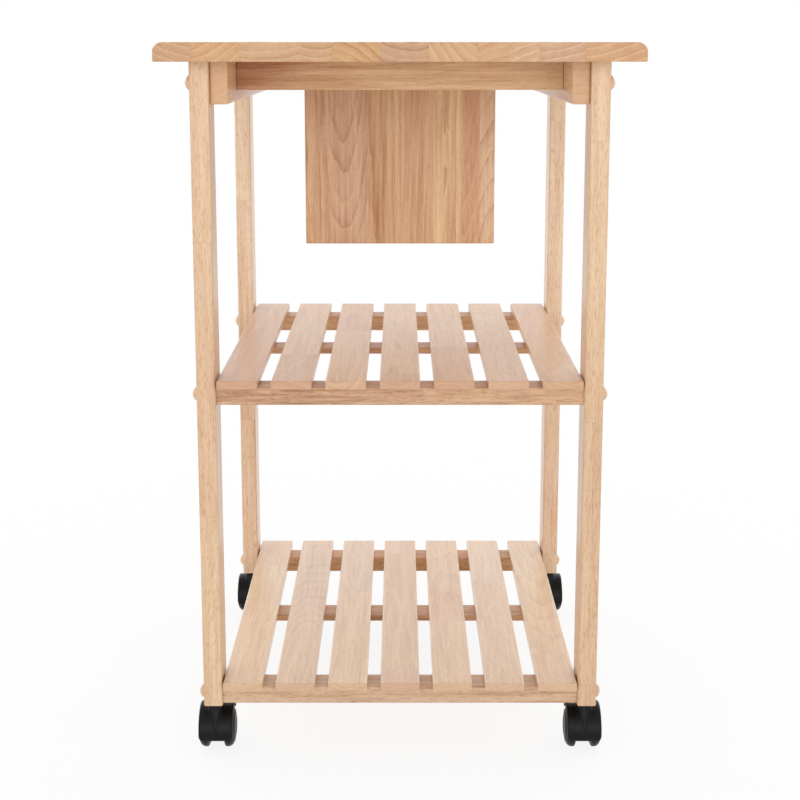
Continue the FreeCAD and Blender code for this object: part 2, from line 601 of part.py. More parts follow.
def make_hood(name, x, y):
    """Hood: a drum round the axle, cut open below, with wheel wells, a web and the stem boss."""
    hood = new_body(f"{name}_hood", x, y)
    axle = ("Sizes.caster_trail", "Sizes.wheel_radius")
    left = "-Sizes.hood_width / 2"
    add_rod(hood, "Sizes.hood_radius", "Sizes.hood_width", (left, *axle), "+X")
    right = "Sizes.hood_width / 2"
    fillet(hood, "Sizes.hood_round", lambda edge: across_at(left)(edge) or across_at(right)(edge))
    boss_tall = f"({BOSS_TOP} - Sizes.wheel_radius)"
    add_rod(hood, "Sizes.boss_radius", boss_tall, ("0", "0", "Sizes.wheel_radius"))
    fillet(hood, "Sizes.boss_blend", joins_boss_and_drum)

    reach = "2 * Sizes.hood_radius"
    front = (f"Sizes.caster_trail - {reach} * cos(Sizes.hood_front_drop)",
             f"Sizes.wheel_radius - {reach} * sin(Sizes.hood_front_drop)")
    rear = (f"Sizes.caster_trail + {reach} * cos(Sizes.hood_rear_rise)",
            f"Sizes.wheel_radius + {reach} * sin(Sizes.hood_rear_rise)")
    floor = f"Sizes.wheel_radius - {reach}"
    open_side = hood.newObject("PartDesign::Pocket", "open_side")
    open_side.Profile = outline(hood, "YZ_Plane", (axle, front, (front[0], floor), (rear[0], floor), rear))
    open_side.Type = "ThroughAll"
    open_side.Midplane = True

    for side_name, side in SIDES:
        bore(hood, WELL_RADIUS, "Sizes.hood_width", (f"{side} * Sizes.web_width / 2", *axle), OUTWARD_X[side])
    web_left = "-Sizes.web_width / 2"
    add_rod(hood, "Sizes.web_radius", "Sizes.web_width", (web_left, *axle), "+X")
    bore(hood, AXLE_BORE, "Sizes.web_width", (web_left, *axle), "+X")
    bore(hood, "Sizes.stem_radius + Sizes.run_clear", "Sizes.stem_in_hood + Sizes.end_clear",
         ("0", "0", f"{BOSS_TOP} - Sizes.stem_in_hood - Sizes.end_clear"), "+Z")
    keep(hood)


def joins_boss_and_drum(edge):
    """Test for the curve where the upright boss comes out of the drum."""
    radius = value("Sizes.boss_radius")
    on_boss = all(abs(math.hypot(vertex.X, vertex.Y) - radius) < 1e-3 for vertex in edge.Vertexes)
    box = edge.BoundBox
    return on_boss and box.XLength > radius / 2 and box.ZLength > 1e-3


def make_axle(name, x, y):
    axle = new_body(f"{name}_axle", x, y)
    add_rod(axle, "Sizes.axle_radius", "2 * Sizes.axle_half",
            ("-Sizes.axle_half", "Sizes.caster_trail", "Sizes.wheel_radius"), "+X")
    half = "Sizes.axle_half"
    chamfer(axle, "Sizes.stem_chamfer", lambda edge: across_at(half)(edge) or across_at(f"-{half}")(edge))
    keep(axle)


def make_wheel(name, x, y, side_name, side):
    """Wheel with a closed dome outside and a blind bore for the axle inside."""
    wheel = new_body(f"{name}_wheel_{side_name}", x, f"{y} + Sizes.caster_trail", "Sizes.wheel_radius")
    bore_end = f"{side} * (Sizes.axle_half + Sizes.thrust_gap)"
    inner = f"{side} * {WHEEL_IN}"
    tread_in = f"{side} * ({WHEEL_IN} + Sizes.wheel_slant_x)"
    rim = f"{side} * Sizes.wheel_rim_x"
    revolve(wheel, ((bore_end, "0"), (f"{side} * Sizes.wheel_dome_x", "0"), (rim, "Sizes.wheel_radius"),
                    (tread_in, "Sizes.wheel_radius"), (inner, "Sizes.wheel_radius - Sizes.wheel_slant_r"),
                    (inner, AXLE_BORE), (bore_end, AXLE_BORE)), arc_after=1)
    fillet(wheel, "Sizes.wheel_round", across_at(rim))
    keep(wheel)


def make_caster(corner, side, end):
    name = f"caster_{corner}"
    x = f"{side} * {LEG_HALF_X}"
    y = f"{end} * {STEM_HALF_Y}"
    make_stem(name, x, y)
    make_hood(name, x, y)
    make_axle(name, x, y)
    for side_name, wheel_side in SIDES:
        make_wheel(name, x, y, side_name, wheel_side)


make_top()
for side_name, side in SIDES:
    make_rail(side_name, side)
make_apron(*ENDS[0])
drill_board_screws(make_apron(*ENDS[1]))
make_hanging_board()
for corner, side, end in leg_corners():
    make_leg(corner, side, end)
for shelf in SHELVES:
    for end_name, end in ENDS:
        make_bar(shelf, end_name, end)
    make_batten(shelf)
    for number in range(SLAT_COUNT):
        make_slat(shelf, number)
make_fasteners()
make_caps()
make_sockets()
for corner, side, end in leg_corners():
    make_caster(corner, side, end)

doc.recompute()
for item in doc.Objects:
    if "Invalid" in item.State or "Error" in item.State:
        raise RuntimeError(f"{item.Label} did not build: {item.State}")
for node in nodes:
    if node.Shape.isNull() or not node.Shape.isValid():
        raise RuntimeError(f"{node.Label} has no valid shape")

os.makedirs("parts", exist_ok=True)
for node in nodes:
    node.Shape.exportStep(f"parts/{node.Label}.step")
    print(node.Label, len(node.Shape.Solids), round(node.Shape.Volume, 1))
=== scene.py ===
import math

import bmesh
import bpy
from bpy.props import FloatProperty, FloatVectorProperty, PointerProperty
from bpy.types import Operator, Panel, PropertyGroup
from mathutils import Euler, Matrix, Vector


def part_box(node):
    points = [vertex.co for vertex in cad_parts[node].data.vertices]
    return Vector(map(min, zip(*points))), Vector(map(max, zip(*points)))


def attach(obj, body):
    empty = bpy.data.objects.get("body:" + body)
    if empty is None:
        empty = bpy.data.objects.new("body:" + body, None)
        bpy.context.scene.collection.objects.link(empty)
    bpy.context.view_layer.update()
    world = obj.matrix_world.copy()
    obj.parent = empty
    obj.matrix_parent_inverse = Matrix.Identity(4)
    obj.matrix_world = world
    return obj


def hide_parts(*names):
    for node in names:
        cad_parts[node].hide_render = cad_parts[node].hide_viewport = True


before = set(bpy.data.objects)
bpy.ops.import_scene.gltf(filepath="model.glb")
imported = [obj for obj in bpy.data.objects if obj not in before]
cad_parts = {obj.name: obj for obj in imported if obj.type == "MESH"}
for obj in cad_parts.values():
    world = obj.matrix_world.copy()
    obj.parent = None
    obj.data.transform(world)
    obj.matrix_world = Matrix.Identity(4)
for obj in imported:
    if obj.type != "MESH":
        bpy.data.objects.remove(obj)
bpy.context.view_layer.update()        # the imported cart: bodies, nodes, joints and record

bl_info = {
    "name": "Kitchen Cart",
    "version": (1, 0, 0),
    "blender": (4, 5, 0),
    "location": "View3D > Sidebar > Cart",
    "description": "Timber, caster and studio finishes for a slatted kitchen cart",
    "category": "Object",
}

SHELVES = ("mid", "low")
SLAT_NUMBERS = range(1, 8)
SIDES = ("left", "right")
CORNERS = tuple(f"{end}_{side}" for end in ("front", "rear") for side in SIDES)

# Turns that bring the grain of a piece, named by its axis in the cart, onto the Z axis of the timber pattern
GRAIN_TURNS = {
    "X": Euler((0, -math.pi / 2, 0)),
    "Y": Euler((math.pi / 2, 0, 0)),
    "Z": Euler((0, 0, 0)),
}
UNBROKEN = 20.0  # metres, a stave or length that no piece reaches the end of


def srgb(red, green, blue):
    """Scene-linear colour for an 8-bit display colour."""
    shares = (red / 255, green / 255, blue / 255)
    return tuple(v / 12.92 if v <= 0.04045 else ((v + 0.055) / 1.055) ** 2.4 for v in shares)


def colour(name, description, default):
    return FloatVectorProperty(name=name, description=description, subtype="COLOR", size=3, min=0, max=1,
                               default=default)


def number(name, description, default, **options):
    return FloatProperty(name=name, description=description, default=default, **options)


def length(name, description, default):
    return number(name, description, default, subtype="DISTANCE", unit="LENGTH", precision=4)


def angle(name, description, degrees):
    return number(name, description, math.radians(degrees), subtype="ANGLE", unit="ROTATION")


def share(name, description, default):
    return number(name, description, default, subtype="FACTOR", min=0, max=1)


class CartTimberSettings(PropertyGroup):
    top_pale: colour("Top Pale", "Pale wood of the work top", srgb(226, 191, 149))
    top_dark: colour("Top Dark", "Dark rings of the work top", srgb(179, 126, 82))
    leg_pale: colour("Leg Pale", "Pale wood of the legs and caps", srgb(228, 197, 160))
    leg_dark: colour("Leg Dark", "Dark rings of the legs and caps", srgb(195, 149, 107))
    # Painted light: the rear legs are paler than the front legs, standing in for light that the front of the
    # cart keeps off them
    brightened_rear_leg_pale: colour("Rear Leg Pale", "Pale wood of the rear legs", srgb(240, 217, 187))
    brightened_rear_leg_dark: colour("Rear Leg Dark", "Dark rings of the rear legs", srgb(204, 161, 120))
    rail_pale: colour("Rail Pale", "Pale wood of the side rails", srgb(237, 202, 158))
    rail_dark: colour("Rail Dark", "Dark rings of the side rails", srgb(194, 142, 98))
    # Partly painted shade: the aprons' tones are darker and more orange than the rails', partly the wood's
    # own and partly the warm shade under the work top
    apron_pale: colour("Apron Pale", "Pale wood of the cross aprons", srgb(233, 196, 146))
    apron_dark: colour("Apron Dark", "Dark rings of the cross aprons", srgb(180, 114, 59))
    # Partly painted shade: the board's tones lean orange, partly the wood's own and partly the warm shade
    # under the work top
    board_pale: colour("Board Pale", "Pale wood of the hanging board", srgb(228, 191, 150))
    board_dark: colour("Board Dark", "Dark rings of the hanging board", srgb(176, 120, 76))
    # Painted shade and light: the middle shelf's bars are darker than the low shelf's, for the shade under
    # the work top and the brighter light on the low shelf
    mid_bar_pale: colour("Middle Bar Pale", "Pale wood of the middle shelf's bars", srgb(206, 164, 126))
    mid_bar_dark: colour("Middle Bar Dark", "Dark rings of the middle shelf's bars", srgb(160, 106, 70))
    low_bar_pale: colour("Low Bar Pale", "Pale wood of the low shelf's bars", srgb(214, 183, 150))
    low_bar_dark: colour("Low Bar Dark", "Dark rings of the low shelf's bars", srgb(172, 127, 92))
    # Partly painted shade: the battens and rear bars are darker, partly the wood's own and partly the shade
    # under and between the slats
    batten_pale: colour("Batten Pale", "Pale wood under the slats", srgb(214, 166, 119))
    batten_dark: colour("Batten Dark", "Dark rings under the slats", srgb(166, 112, 69))
    # Painted light: the low shelf's slats are paler and greyer than the middle shelf's, for the brighter
    # light and whiter sheen on the low shelf
    mid_slat_pale: colour("Middle Slat Pale", "Pale wood of the middle shelf's slats", srgb(227, 192, 155))
    mid_slat_dark: colour("Middle Slat Dark", "Dark rings of the middle shelf's slats", srgb(185, 138, 99))
    low_slat_pale: colour("Low Slat Pale", "Pale wood of the low shelf's slats", srgb(231, 201, 164))
    low_slat_dark: colour("Low Slat Dark", "Dark rings of the low shelf's slats", srgb(189, 146, 107))
    blush: colour("Blush", "Rosy tint that drifts through the wood", srgb(213, 157, 124))
    stave_width: length("Stave Width", "Width of the staves of the work top", 0.0473)
    board_stave_width: length("Board Stave Width", "Width of the staves of the hanging board", 0.0426)
    ring_spacing: length("Ring Spacing", "Distance between growth rings", 0.009)
    top_first_stave: length("Top First Stave", "Edge of a stave from the work top's middle", -0.181)
    board_first_stave: length("Board First Stave", "Edge of a stave from the board's middle", -0.0638)
    panel_length: length("Panel Length", "Distance between the finger joints in a panel stave", 0.34)
    leg_length: length("Leg Length", "Distance between the finger joints in a leg", 0.319)
    left_leg_joint: length("Left Leg Joint", "A finger joint of the left legs above the floor", 0.308)
    right_leg_joint: length("Right Leg Joint", "A finger joint of the right legs above the floor", 0.420)
    slat_length: length("Slat Length", "Distance between the finger joints in a slat", 0.43)
    finger_length: length("Finger Length", "Depth of the finger joints", 0.009)
    tone_spread: share("Tone Spread", "How much the lengths of wood differ in tone", 0.10)
    lacquer: share("Lacquer", "Weight of the satin lacquer on most pieces", 0.2)
    leg_lacquer: share("Leg Lacquer", "Weight of the lacquer on legs, caps and side rails", 0.6)
    mid_slat_lacquer: share("Middle Slat Lacquer", "Weight of the lacquer on the middle shelf's slats", 0.55)
    low_slat_lacquer: share("Low Slat Lacquer", "Weight of the lacquer on the low shelf's slats", 1.0)


class CartCasterSettings(PropertyGroup):
    hood_black: colour("Hood Black", "Moulded hood", srgb(15, 16, 16))
    wheel_black: colour("Wheel Black", "Moulded wheel", srgb(16, 16, 15))
    dust_grey: colour("Dust Grey", "Scuffs on the moulded parts", srgb(40, 40, 38))
    zinc: colour("Zinc", "Plated steel of stems, axles and screws", srgb(186, 188, 190))
    roughness: share("Roughness", "Roughness of the moulded parts", 0.36)
    hood_radius: length("Hood Radius", "Outside of the hood from the axle", 0.030)
    hood_wall: length("Hood Wall", "Wall of the hood over the wheels", 0.0034)
    hood_width: length("Hood Width", "Hood from side to side", 0.0412)
    hood_rim: length("Hood Rim", "Rounding of the outer rims of the hood", 0.0024)
    hood_corner: length("Hood Corner", "Rounding of the four corners of the hood", 0.006)
    hood_front: angle("Hood Front", "Front edge of the hood below the axle", 15)
    hood_rear: angle("Hood Rear", "Rear edge of the hood above the axle", 28)
    web_width: length("Web Width", "Web between the wheels", 0.0156)
    web_radius: length("Web Radius", "Web below the axle", 0.019)
    boss_radius: length("Boss Radius", "Boss round the stem", 0.009)
    boss_foot: length("Boss Foot", "Foot of the boss above the axle, clear of the wheels", 0.0215)
    stem_bore: length("Stem Bore", "Radius of the bore for the stem", 0.0043)
    stem_bore_depth: length("Stem Bore Depth", "Depth of the bore for the stem", 0.0288)
    axle_bore: length("Axle Bore", "Radius of the bore for the axle", 0.0033)
    mould_grain: length("Mould Grain", "Mesh size of the moulded hood", 0.0007)


class CartStageSettings(PropertyGroup):
    camera_distance: length("Camera Distance", "Camera in front of the middle of the cart", 2.0)
    camera_height: length("Camera Height", "Camera above the floor, level with the work surface", 0.842)
    camera_tilt: angle("Camera Tilt", "Camera turned down from level", 10.8)
    lens: number("Lens", "Focal length in millimetres", 70.3, min=1)
    lens_shift: number("Lens Shift", "Rise of the lens, as a share of the picture", -0.075, min=-1, max=1)
    room_light: number("Room Light", "Even light of the white room", 0.7, min=0)
    front_light: number("Front Light", "Each of the two soft lamps in front", 0.5, min=0)
    rear_light: number("Rear Light", "Each of the two soft lamps behind", 0.7, min=0)
    front_side: angle("Front Side", "Front lamps to either side of the camera", 20)
    front_height: angle("Front Height", "Front lamps above level", 12)
    front_softness: angle("Front Softness", "Width of each front lamp as the cart sees it", 35)
    rear_side: angle("Rear Side", "Rear lamps to either side of the camera", 140)
    rear_height: angle("Rear Height", "Rear lamps above level", 30)
    rear_softness: angle("Rear Softness", "Width of each rear lamp as the cart sees it", 60)
    floor_size: length("Floor Size", "Edge of the floor", 40.0)
    shadow: share("Shadow", "How strongly the shadow shows on the white floor", 0.13)
    shadow_reach: length("Shadow Reach", "Radius at which the floor is plain white", 1.6)


class NodeBench:
    """Adds and wires the nodes of one shader tree."""

    def __init__(self, tree):
        self.tree = tree
        self.across = 0

    def add(self, kind, inputs=None, **settings):
        node = self.tree.nodes.new(kind)
        node.location = (self.across, 0)
        self.across += 180
        for name, setting in settings.items():
            setattr(node, name, setting)
        for name, source in (inputs or {}).items():
            self.feed(node.inputs[name], source)
        return node

    def feed(self, socket, source):
        """Link a socket to another, or set it to a plain value."""
        if isinstance(source, bpy.types.NodeSocket):
            self.tree.links.new(source, socket)
        else:
            socket.default_value = source

    def math(self, operation, *terms, clamp=False):
        node = self.add("ShaderNodeMath", operation=operation, use_clamp=clamp)
        for socket, term in zip(node.inputs, terms):
            self.feed(socket, term)
        return node.outputs[0]

    def vector(self, operation, *terms):
        node = self.add("ShaderNodeVectorMath", operation=operation)
        for socket, term in zip(node.inputs, terms):
            self.feed(socket, term)
        return node.outputs[0]

    def spread(self, source, centre, reach):
        """A 0 to 1 value turned into centre plus or minus reach."""
        ends = {"To Min": centre - reach, "To Max": centre + reach}
        return self.add("ShaderNodeMapRange", {"Value": source, **ends}, clamp=False).outputs["Result"]

    def step(self, source, low, high):
        """0 below low, 1 above high, smooth between."""
        node = self.add("ShaderNodeMapRange", {"Value": source, "From Min": low, "From Max": high},
                        interpolation_type="SMOOTHSTEP")
        return node.outputs["Result"]

    def noise(self, vector, stretch, detail=2.0):
        """Noise with its own scale along each axis, per metre."""
        scaled = self.vector("MULTIPLY", vector, stretch)
        node = self.add("ShaderNodeTexNoise", {"Vector": scaled, "Scale": 1.0, "Detail": detail})
        return node.outputs["Fac"]

    def blend(self, mode, factor, first, second):
        node = self.add("ShaderNodeMix", data_type="RGBA", blend_type=mode)
        sockets = {socket.identifier: socket for socket in node.inputs}
        self.feed(sockets["Factor_Float"], factor)
        self.feed(sockets["A_Color"], first)
        self.feed(sockets["B_Color"], second)
        return next(socket for socket in node.outputs if socket.identifier == "Result_Color")

    def join(self, x, y, z):
        return self.add("ShaderNodeCombineXYZ", {"X": x, "Y": y, "Z": z}).outputs["Vector"]

    def split(self, vector):
        return self.add("ShaderNodeSeparateXYZ", {"Vector": vector}).outputs

    def chance(self, vector):
        """Random value for each place, a random vector and that vector's parts."""
        node = self.add("ShaderNodeTexWhiteNoise", {"Vector": vector}, noise_dimensions="3D")
        return node.outputs["Value"], node.outputs["Color"], self.split(node.outputs["Color"])


def new_group(name, inputs, outputs):
    """Empty shader node group with its sockets; gives the group, its bench and its two ends."""
    group = bpy.data.node_groups.new(name, "ShaderNodeTree")
    for socket_name, kind, default in inputs:
        socket = group.interface.new_socket(socket_name, in_out="INPUT", socket_type=kind)
        if default is not None:
            socket.default_value = default
    for socket_name, kind in outputs:
        group.interface.new_socket(socket_name, in_out="OUTPUT", socket_type=kind)
    bench = NodeBench(group)
    start = bench.add("NodeGroupInput")
    end = bench.add("NodeGroupOutput")
    return group, bench, start.outputs, end.inputs


FLOAT = "NodeSocketFloat"
COLOUR = "NodeSocketColor"
VECTOR = "NodeSocketVector"
TIMBER_INPUTS = (
    ("Position", VECTOR, None),
    ("Normal", VECTOR, None),
    ("Seed", FLOAT, 0.0),
    ("Stave Width", FLOAT, UNBROKEN),
    ("Stave Start", FLOAT, -UNBROKEN / 2),
    ("Stave Variety", FLOAT, 0.0),
    ("Joint Spacing", FLOAT, UNBROKEN),
    ("Joint Start", FLOAT, -UNBROKEN / 2),
    ("Joint Scatter", FLOAT, 0.0),
    ("Finger Length", FLOAT, 0.009),
    ("Ring Spacing", FLOAT, 0.009),
    ("Log Size", FLOAT, 1.0),
    ("Run Out", FLOAT, 0.06),
    ("Waver", FLOAT, 0.006),
    ("Figure", FLOAT, 0.45),
    ("Streak", FLOAT, 1.0),
    ("Fleck", FLOAT, 0.25),
    ("Rosiness", FLOAT, 0.25),
    ("Stain", FLOAT, 0.0),
    ("Stain Edge", FLOAT, 0.0),
    ("Stain Core", FLOAT, 1.0),
    ("Tone Spread", FLOAT, 0.06),
    ("Pale", COLOUR, None),
    ("Dark", COLOUR, None),
    ("Blush", COLOUR, None),
)
EFFECT_OUTPUTS = (
    ("Color", COLOUR),
    ("Roughness", FLOAT),
    ("Height", FLOAT),
)

FINGER_PITCH = 0.0045    # metres from one finger of a joint to the next
JOINT_LINE = 0.00035     # metres, width of a glue line
HEART_NEAR = 0.016       # metres, nearest that the heart of the tree comes to a stave's middle
HEART_RANGE = 0.09       # metres, how much further off it may be
HEART_SIDE = 0.05        # metres, how far to the side it may be
FEATHER = 0.0022         # metres, how far fibres carry a ring's edge
STEEPEST = 0.8           # cube root of the steepest slope of the heart, as a part of the run-out
SIDEWAYS = 0.1           # steepest sideways slope, as a part of the run-out
GROUND_DARKNESS = 0.20   # plain wood between its pale and its dark colour
END_DARKNESS = 0.36      # how much darker end grain is
LINE_STRENGTH = 0.25     # how strongly a glue line shows
MARK_TINT = (0.56, 0.29, 0.15, 1.0)      # of glue lines, pores and flecks

# Sizes of the noises, as cycles in a metre across, through and along the grain
WAVER_NOISE = (24.0, 24.0, 5.0)
FIBRE_NOISE = (330.0, 330.0, 14.0)
STREAK_NOISE = (70.0, 70.0, 3.0)
FLECK_NOISE = (850.0, 850.0, 95.0)
PORE_NOISE = (1500.0, 1500.0, 120.0)
CLOUD_NOISE = (16.0, 16.0, 7.0)
NOISE_DRIFT = (9.0, 9.0, 9.0)

# Shifts that keep the draws by chance apart
EDGE_DRAW = 5.0
STAVE_DRAW = 3.0
TONE_DRAW = (0.5, 7.5, 3.5)


def make_timber_group():
    """Solid timber in grain space: X across the staves, Y through them, Z along the grain."""
    group, bench, given, result = new_group("solid_timber", TIMBER_INPUTS, EFFECT_OUTPUTS)
    place = bench.split(given["Position"])

    # Staves side by side, of unequal widths
    def stave_edge(stave_number):
        edge_luck, _, _ = bench.chance(bench.join(stave_number, given["Seed"], EDGE_DRAW))
        return bench.math("MULTIPLY_ADD", edge_luck, given["Stave Variety"], stave_number)

    stave_place = bench.math("DIVIDE", bench.math("SUBTRACT", place["X"], given["Stave Start"]),
                             given["Stave Width"])
    cell = bench.math("FLOOR", stave_place)
    stave = bench.math("SUBTRACT", cell, bench.math("LESS_THAN", stave_place, stave_edge(cell)))
    left_edge = stave_edge(stave)
    right_edge = stave_edge(bench.math("ADD", stave, 1.0))
    stave_middle = bench.math("MULTIPLY", bench.math("ADD", left_edge, right_edge), 0.5)
    across = bench.math("MULTIPLY", bench.math("SUBTRACT", stave_place, stave_middle), given["Stave Width"])
    half_gap = bench.math("MULTIPLY", bench.math("SUBTRACT", right_edge, left_edge), 0.5)
    half_stave = bench.math("MULTIPLY", half_gap, given["Stave Width"])
    stave_luck, _, _ = bench.chance(bench.join(stave, given["Seed"], STAVE_DRAW))

    # Lengths end to end, with a zigzag of fingers through the thickness
    zigzag = bench.math("DIVIDE", bench.math("PINGPONG", place["Y"], FINGER_PITCH / 2), FINGER_PITCH / 2)
    joint_shift = bench.math("MULTIPLY", bench.math("MULTIPLY", stave_luck, given["Joint Scatter"]),
                             given["Joint Spacing"])
    along = bench.math("ADD", bench.math("SUBTRACT", place["Z"], given["Joint Start"]), joint_shift)
    along = bench.math("MULTIPLY_ADD", zigzag, given["Finger Length"], along)
    length_place = bench.math("DIVIDE", along, given["Joint Spacing"])
    length_number = bench.math("FLOOR", length_place)
    identity = bench.join(stave, length_number, given["Seed"])
    luck, offset, lucks = bench.chance(identity)
    tone_luck, _, tone_lucks = bench.chance(bench.vector("ADD", identity, TONE_DRAW))

    # The same stick of wood, moved to its own part of every noise
    drift = bench.vector("MULTIPLY", offset, NOISE_DRIFT)
    stick = bench.vector("ADD", bench.join(across, place["Y"], place["Z"]), drift)

    # Growth rings round a heart that lies off the stave and slopes along it, steeply in few of the lengths
    steepness = bench.math("POWER", bench.spread(lucks["Z"], 0.0, STEEPEST), 3.0)
    slope_out = bench.math("MULTIPLY", steepness, given["Run Out"])
    slope_side = bench.math("MULTIPLY", bench.spread(luck, 0.0, SIDEWAYS), given["Run Out"])
    side_luck = bench.spread(lucks["Y"], 0.0, 0.5)
    heart_off = bench.math("MULTIPLY", bench.math("SIGN", side_luck), bench.math(
        "MULTIPLY_ADD", bench.math("ABSOLUTE", side_luck), HEART_RANGE, HEART_NEAR))
    heart_off = bench.math("MULTIPLY", heart_off, given["Log Size"])
    heart_off = bench.math("MULTIPLY_ADD", place["Z"], slope_out, heart_off)
    heart_side = bench.math("MULTIPLY", bench.spread(lucks["X"], 0.0, HEART_SIDE / 2), given["Log Size"])
    heart_side = bench.math("MULTIPLY_ADD", place["Z"], slope_side, heart_side)
    square_out = bench.math("POWER", bench.math("SUBTRACT", place["Y"], heart_off), 2.0)
    square_side = bench.math("POWER", bench.math("SUBTRACT", across, heart_side), 2.0)
    radius = bench.math("SQRT", bench.math("ADD", square_out, square_side))
    waver = bench.spread(bench.noise(stick, WAVER_NOISE, detail=3.0), 0.0, 1.0)
    radius = bench.math("MULTIPLY_ADD", waver, given["Waver"], radius)
    fibres = bench.noise(stick, FIBRE_NOISE)
    radius = bench.math("ADD", radius, bench.spread(fibres, 0.0, FEATHER / 2))
    ring_place = bench.math("DIVIDE", radius, given["Ring Spacing"])
    ring = bench.math("FRACT", ring_place)
    ring_luck, _, _ = bench.chance(bench.join(bench.math("FLOOR", ring_place), stave, length_number))
    late = bench.math("MULTIPLY", bench.math("POWER", ring, 3.0), bench.spread(ring_luck, 0.6, 0.4))
    early = bench.math("POWER", bench.math("SUBTRACT", 1.0, ring), 8.0)
    dark_band = bench.spread(stave_luck, 0.6, 0.35)
    pale_line = bench.math("SUBTRACT", 1.1, dark_band)
    growth = bench.math("SUBTRACT", bench.math("MULTIPLY", late, dark_band),
                        bench.math("MULTIPLY", early, pale_line))

    # Streaks, flecks and pores drawn out along the grain
    streaks = bench.noise(stick, STREAK_NOISE, detail=4.0)
    flecks = bench.step(bench.noise(stick, FLECK_NOISE, detail=1.5), 0.55, 0.70)
    pores = bench.step(bench.noise(stick, PORE_NOISE, detail=1.0), 0.60, 0.72)
    cloud = bench.noise(stick, CLOUD_NOISE)

    # End grain drinks more finish and shows darker, with plainer rings
    facing = bench.math("ABSOLUTE", bench.split(given["Normal"])["Z"])
    end_grain = bench.step(facing, 0.55, 0.95)
    side_grain = bench.math("MULTIPLY_ADD", end_grain, -0.7, 1.0)

    drawn = bench.math("ADD", bench.spread(streaks, 0.0, 0.65), bench.spread(fibres, 0.0, 0.55))
    drawn = bench.math("MULTIPLY", drawn, given["Streak"])
    darkness = bench.math("MULTIPLY_ADD", drawn, side_grain, GROUND_DARKNESS)
    darkness = bench.math("MULTIPLY_ADD", growth, given["Figure"], darkness)
    # Darker from an edge to a core along the grain: painted shade at the left end of the front apron, and
    # darker towards the floor on the legs
    stained = bench.step(place["Z"], given["Stain Edge"], given["Stain Core"])
    darkness = bench.math("MULTIPLY_ADD", stained, given["Stain"], darkness)
    darkness = bench.math("MULTIPLY_ADD", end_grain, END_DARKNESS, darkness)
    wood = bench.blend("MIX", bench.math("MAXIMUM", darkness, 0.0), given["Pale"], given["Dark"])
    rosy = bench.math("MULTIPLY_ADD", bench.math("POWER", tone_lucks["Z"], 2.0), 0.7,
                      bench.math("MULTIPLY", bench.step(cloud, 0.46, 0.75), 0.3))
    rosy = bench.math("MULTIPLY", rosy, given["Rosiness"])
    wood = bench.blend("MIX", rosy, wood, given["Blush"])

    # Each length has a tone of its own
    tone = bench.math("MULTIPLY_ADD", bench.spread(tone_luck, 0.0, 1.0), given["Tone Spread"], 1.0)
    hue_share = bench.math("MULTIPLY", given["Tone Spread"], 0.08)
    hue = bench.math("MULTIPLY_ADD", bench.spread(tone_lucks["X"], 0.0, 1.0), hue_share, 0.5)
    depth = bench.math("MULTIPLY_ADD", bench.spread(tone_lucks["Y"], 0.0, 1.0), given["Tone Spread"], 1.0)
    wood = bench.add("ShaderNodeHueSaturation", {"Hue": hue, "Saturation": depth, "Value": tone,
                                                 "Color": wood}).outputs["Color"]

    # Glue lines between staves and lengths
    edge = bench.math("SUBTRACT", half_stave, bench.math("ABSOLUTE", across))
    stave_line = bench.math("LESS_THAN", edge, JOINT_LINE / 2)
    reach = bench.math("MULTIPLY", bench.math("FRACT", length_place), given["Joint Spacing"])
    length_line = bench.math("LESS_THAN", reach, JOINT_LINE)
    line = bench.math("MAXIMUM", stave_line, length_line)
    dashes = bench.math("MULTIPLY", bench.math("MAXIMUM", pores, flecks), given["Fleck"])
    marks = bench.math("MULTIPLY_ADD", line, LINE_STRENGTH, bench.math("MULTIPLY", dashes, side_grain))
    wood = bench.blend("MULTIPLY", marks, wood, MARK_TINT)

    bench.feed(result["Color"], wood)
    rough = bench.math("ADD", bench.spread(fibres, 0.42, 0.06), bench.math("MULTIPLY", end_grain, 0.12))
    bench.feed(result["Roughness"], bench.math("MULTIPLY_ADD", pores, 0.15, rough))
    relief = bench.math("SUBTRACT", bench.math("MULTIPLY", fibres, 0.4), pores)
    bench.feed(result["Height"], bench.math("SUBTRACT", relief, line))
    return group


MOULDING_INPUTS = (
    ("Position", VECTOR, None),
    ("Base", COLOUR, None),
    ("Scuff", COLOUR, None),
    ("Roughness", FLOAT, 0.3),
)
FLOW_NOISE = (60.0, 60.0, 60.0)
SPARK_NOISE = (2600.0, 2600.0, 2600.0)
SCUFF_NOISE = (900.0, 140.0, 260.0)


def make_moulding_group():
    """Moulded plastic: faint flow marks, fine spark texture and a few scuffs."""
    group, bench, given, result = new_group("moulded_plastic", MOULDING_INPUTS, EFFECT_OUTPUTS)
    flow = bench.noise(given["Position"], FLOW_NOISE, detail=3.0)
    spark = bench.noise(given["Position"], SPARK_NOISE, detail=1.0)
    scuffs = bench.step(bench.noise(given["Position"], SCUFF_NOISE), 0.66, 0.78)
    tint = bench.math("MULTIPLY_ADD", scuffs, 0.35, bench.spread(flow, 0.06, 0.10), clamp=True)
    bench.feed(result["Color"], bench.blend("MIX", tint, given["Base"], given["Scuff"]))
    rough = bench.math("ADD", given["Roughness"], bench.spread(flow, 0.0, 0.10))
    bench.feed(result["Roughness"], bench.math("MULTIPLY_ADD", scuffs, 0.22, rough))
    bench.feed(result["Height"], bench.math("MULTIPLY_ADD", spark, 0.5, flow))
    return group


def node_group(name, maker):
    """The named node group, made on first use."""
    return bpy.data.node_groups.get(name) or maker()


RELIEF_STRENGTH = 0.6
TIMBER_RELIEF = 0.0002       # metres
MOULDING_RELIEF = 0.00004    # metres
LACQUER_ROUGHNESS = 0.28
MOULDING_SPECULAR = 0.16
CRYSTAL_NOISE = (700.0, 700.0, 700.0)
STAIN_NOISE = (90.0, 90.0, 90.0)
ZINC_STAIN = (0.62, 0.60, 0.55, 1.0)
WHITE = (1.0, 1.0, 1.0, 1.0)

